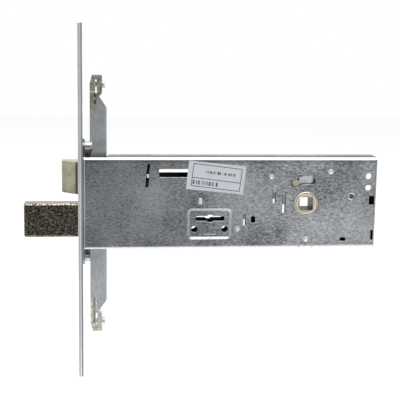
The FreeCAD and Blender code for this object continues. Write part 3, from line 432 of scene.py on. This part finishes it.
bpy.ops.object.select_all(action="DESELECT")
bpy.ops.mesh.primitive_circle_add(vertices=HUB_WIRE_SIDES, radius=HUB_WIRE_R, location=(HUB_COIL_R, 0.0, 0.0))
hub_coil = bpy.context.object
hub_coil.name = "follower_spring_coil"
bpy.ops.object.transform_apply(location=True, rotation=True, scale=True)
winding = hub_coil.modifiers.new("winding", "SCREW")
winding.axis = "Y"
winding.angle = 2 * math.pi * HUB_TURNS + SHORT_LEG[0] - LONG_LEG[0]
winding.screw_offset = LONG_LEG[1] - SHORT_LEG[1]
winding.steps = HUB_STEPS
winding.render_steps = HUB_STEPS
bpy.ops.object.modifier_apply(modifier="winding")
hub_coil.data.transform(Matrix.Rotation(-SHORT_LEG[0], 4, "Y"))
hub_coil.data.transform(Matrix.Translation((HUB_X, SHORT_LEG[1], HUB_Z)))
legs = []
for angle, behind, length in (SHORT_LEG, LONG_LEG):
    foot = Vector((HUB_X + HUB_COIL_R * math.cos(angle), behind, HUB_Z + HUB_COIL_R * math.sin(angle)))
    middle = foot + Vector((-math.sin(angle), 0.0, math.cos(angle))) * length / 2
    bpy.ops.mesh.primitive_cylinder_add(vertices=HUB_WIRE_SIDES, radius=HUB_WIRE_R, depth=length,
                                        location=middle, rotation=(0.0, -angle, 0.0))
    bpy.ops.object.transform_apply(location=True, rotation=True, scale=True)
    legs.append(bpy.context.object)
bpy.ops.object.select_all(action="DESELECT")
for piece in legs + [hub_coil]:
    piece.select_set(True)
bpy.context.view_layer.objects.active = hub_coil
bpy.ops.object.join()
bpy.ops.object.mode_set(mode="EDIT")
bpy.ops.mesh.select_all(action="SELECT")
bpy.ops.mesh.fill_holes(sides=12)
bpy.ops.mesh.select_all(action="SELECT")
bpy.ops.mesh.normals_make_consistent(inside=False)
bpy.ops.object.mode_set(mode="OBJECT")
bpy.ops.object.shade_smooth_by_angle(angle=math.radians(50))
hub_coil.data.materials.append(wire)
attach(hub_coil, "lock_case")
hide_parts("follower_spring")

# ---- Deadbolt ---------------------------------------------------------------------------------
# The bolt is a block of drawn steel, tumbled and then black-nickel plated, so its flat sides show a
# dark, warm, wormy mottle about a millimetre across, and its chamfers are worn bright.
nickel_bolt, tree, shader = new_material("black_nickel_on_tumbled_steel", Metallic=1.0)
place = add(tree, "ShaderNodeTexCoord").outputs["Object"]
worms = add(tree, "ShaderNodeTexNoise", Vector=place, Scale=1 / (1.0 * MM), Detail=5.0, Roughness=0.7,
            Distortion=0.8)
spread = add(tree, "ShaderNodeMapRange", i0=worms.outputs[0], i1=0.45, i2=0.64)
colour = add(tree, "ShaderNodeMix", {"data_type": "RGBA"}, i0=spread.outputs[0],
             i6=linear("#2a251f"), i7=linear("#b3aa9c"))
dull = add(tree, "ShaderNodeMapRange", i0=worms.outputs[0], i1=0.4, i2=0.7, i3=0.18, i4=0.4)
edge = add(tree, "ShaderNodeBevel", {"samples": 4}, Radius=0.3 * MM)
relief = add(tree, "ShaderNodeBump", Strength=0.6, Distance=0.04 * MM, Height=worms.outputs[0],
             Normal=edge.outputs[0])
tree.links.new(colour.outputs[2], shader.inputs["Base Color"])
tree.links.new(dull.outputs[0], shader.inputs["Roughness"])
tree.links.new(relief.outputs[0], shader.inputs["Normal"])
finish_node("bolt_head", nickel_bolt)
finish_node("bolt_tail", zinc_bracket)
for name in ("bolt_stump", "rod_drive_pin", "bolt_rivets"):
    finish_node(name, zinc_turned)

# ---- Locking rods -----------------------------------------------------------------------------
# Flat rods blanked from zinc-plated strip, driven out at top and bottom by a pin on the bolt.
zinc_rod = zinc_on_rolled_steel("zinc_plated_rod_strip", "#8f9499", "#ced2d6", "Z", 4.0, 16.0, 0.42)
# they are painted lighter where they run out of the case, and at their rear edges
recolour(zinc_rod, (None, None, 27.0), (None, None, 34.0), "#eef0f1", 0.5, 3.0)
recolour(zinc_rod, (16.4, None, None), ANYWHERE, "#eef0f1", 0.6, 0.5)
for name in ("top_rod", "bottom_rod"):
    finish_node(name, zinc_rod)

# ---- Rod couplings ----------------------------------------------------------------------------
# Clamps die-cast in zinc alloy and nickel-plated, a smooth pale metal with a touch of yellow. Two
# rivets hold each to its rod, and a slotted screw clamps the door's own rod in it.
die_cast = {}
# the two are the same metal; the bottom one's paler tones are painted light
for side, low, high in (("top", "#a8a799", "#d4d3c4"), ("bottom", "#bcbbae", "#e4e3d6")):
    die_cast[side] = nickel_on_powder(side + "_nickel_plated_die_cast_zinc", low, high, 1.2, 0.30)
# a painted highlight lies on a ledge of the top one, painted shade in a groove beside a rib on both, and
# painted highlights on the bottom one's two ribs
recolour(die_cast["top"], (None, None, 66.3), (12.2, None, 67.4), "#ffffff", 0.9, 0.2)
recolour(die_cast["top"], (9.4, None, 57.0), (11.2, None, 66.0), "#4d4a3c", 0.75, 0.3)
recolour(die_cast["bottom"], (8.8, None, -74.5), (10.3, None, -57.0), "#5d5a4a", 0.7, 0.3)
recolour(die_cast["bottom"], (7.5, None, -76.0), (8.4, None, -56.0), "#ffffff", 0.6, 0.2)
recolour(die_cast["bottom"], (10.6, None, -76.0), (11.4, None, -56.0), "#ffffff", 0.6, 0.2)
for side in ("top", "bottom"):
    finish_node(side + "_rod_coupling", die_cast[side])
    finish_node(side + "_clamp_screw", zinc_turned)
    finish_node(side + "_coupling_rivets", zinc_turned)

# ---- Levers and their springs -----------------------------------------------------------------
# Six stamped steel plates, passivated pale yellow, each pressed down by a leaf of tempered strip.
yellow_lever = zinc_on_rolled_steel("yellow_passivated_levers", "#9c9070", "#c9bd96", "X", 3.0, 9.0, 0.36)
for index in range(6):
    finish_node("lever_%d" % (index + 1), yellow_lever)
finish_node("lever_springs", wire)

# ---- Studio -----------------------------------------------------------------------------------
# A wide matt white floor well below the lock, a pale room, and large soft lights in front of it.
FLOOR_DROP = 80 * MM
FLOOR_DEPTH = 2.8
FLOOR_FRONT = -0.3
ROOM_FRONT = 0.26
ROOM_REAR = 1.15
bpy.ops.object.select_all(action="DESELECT")
bpy.ops.mesh.primitive_plane_add(size=FLOOR_DEPTH, location=(
    0.08, FLOOR_FRONT + FLOOR_DEPTH / 2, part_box("forend")[0][2] - FLOOR_DROP))
floor = bpy.context.object
floor.name = "studio_floor"
floor_paint, tree, shader = new_material("matt_white_floor_paint", Roughness=0.9)
place = add(tree, "ShaderNodeTexCoord").outputs["Object"]
rolled_on = add(tree, "ShaderNodeTexNoise", Vector=place, Scale=1 / (20 * MM))
colour = add(tree, "ShaderNodeMix", {"data_type": "RGBA"}, i0=rolled_on.outputs[0],
             i6=linear("#f7f7f7"), i7=linear("#fbfbfb"))
tree.links.new(colour.outputs[2], shader.inputs["Base Color"])
floor.data.materials.append(floor_paint)

# The room is pale behind and above the lock and dimmer in front of it, where nothing is lit.
world = bpy.data.worlds.new("pale_studio")
bpy.context.scene.world = world
world.use_nodes = True
sky = world.node_tree
toward = add(sky, "ShaderNodeTexCoord").outputs["Generated"]
ways = add(sky, "ShaderNodeSeparateXYZ", Vector=toward)
rear = add(sky, "ShaderNodeMapRange", {"interpolation_type": "SMOOTHSTEP"}, i0=ways.outputs["Y"],
           i1=-0.15, i2=0.45)
above = add(sky, "ShaderNodeMapRange", {"interpolation_type": "SMOOTHSTEP"}, i0=ways.outputs["Z"],
            i1=0.35, i2=0.8)
pale = add(sky, "ShaderNodeMath", {"operation": "MAXIMUM"}, i0=rear.outputs[0], i1=above.outputs[0])
lit = add(sky, "ShaderNodeMapRange", i0=pale.outputs[0], i3=ROOM_FRONT, i4=ROOM_REAR)
room = sky.nodes["Background"]
room.inputs["Color"].default_value = (1.0, 1.0, 1.0, 1.0)
sky.links.new(lit.outputs[0], room.inputs["Strength"])
backdrop = add(sky, "ShaderNodeBackground", Color=(1.0, 1.0, 1.0, 1.0), Strength=1.0)
seen = add(sky, "ShaderNodeLightPath").outputs["Is Camera Ray"]
choice = add(sky, "ShaderNodeMixShader", i0=seen, i1=room.outputs[0], i2=backdrop.outputs[0])
sky.links.new(choice.outputs[0], sky.nodes["World Output"].inputs["Surface"])

OBJECT_MID = Vector((0.08, 0.0, 0.0))


def soft_light(name, place, aim, width, height, power):
    """A rectangular softbox at a place, turned to what it lights."""
    data = bpy.data.lights.new(name, "AREA")
    data.shape = "RECTANGLE"
    data.size = width
    data.size_y = height
    data.energy = power
    lamp = bpy.data.objects.new(name, data)
    bpy.context.scene.collection.objects.link(lamp)
    lamp.location = place
    lamp.rotation_euler = (Vector(aim) - Vector(place)).to_track_quat("-Z", "Y").to_euler()


soft_light("top_softbox", (0.10, -0.30, 1.10), OBJECT_MID, 1.1, 0.9, 12.0)
soft_light("right_softbox", (0.50, -0.85, 0.00), OBJECT_MID, 0.4, 0.8, 2.0)
soft_light("left_softbox", (-0.90, -0.45, 0.30), OBJECT_MID, 0.4, 0.8, 1.5)

# ---- Camera -----------------------------------------------------------------------------------
# It stands in front of the lock's left end, a little above it, and looks down at the case's face.
camera_data = bpy.data.cameras.new("camera")
camera_data.sensor_width = 36.0
camera_data.lens = 90.58
camera = bpy.data.objects.new("camera", camera_data)
bpy.context.scene.collection.objects.link(camera)
CAMERA_PLACE = Vector((6.660, -605.898, 110.521)) * MM
YAW, PITCH, ROLL = 0.1113418, 0.1779066, -0.0159110
ahead = Vector((math.sin(YAW) * math.cos(PITCH), math.cos(YAW) * math.cos(PITCH), -math.sin(PITCH)))
level = Vector((math.cos(YAW), -math.sin(YAW), 0.0))
down = ahead.cross(level)
right = math.cos(ROLL) * level + math.sin(ROLL) * down
up = math.sin(ROLL) * level - math.cos(ROLL) * down
turn = Matrix((right, up, -ahead)).transposed()
camera.matrix_world = Matrix.Translation(CAMERA_PLACE) @ turn.to_4x4()
bpy.context.scene.camera = camera
bpy.context.scene.view_settings.view_transform = "Standard"
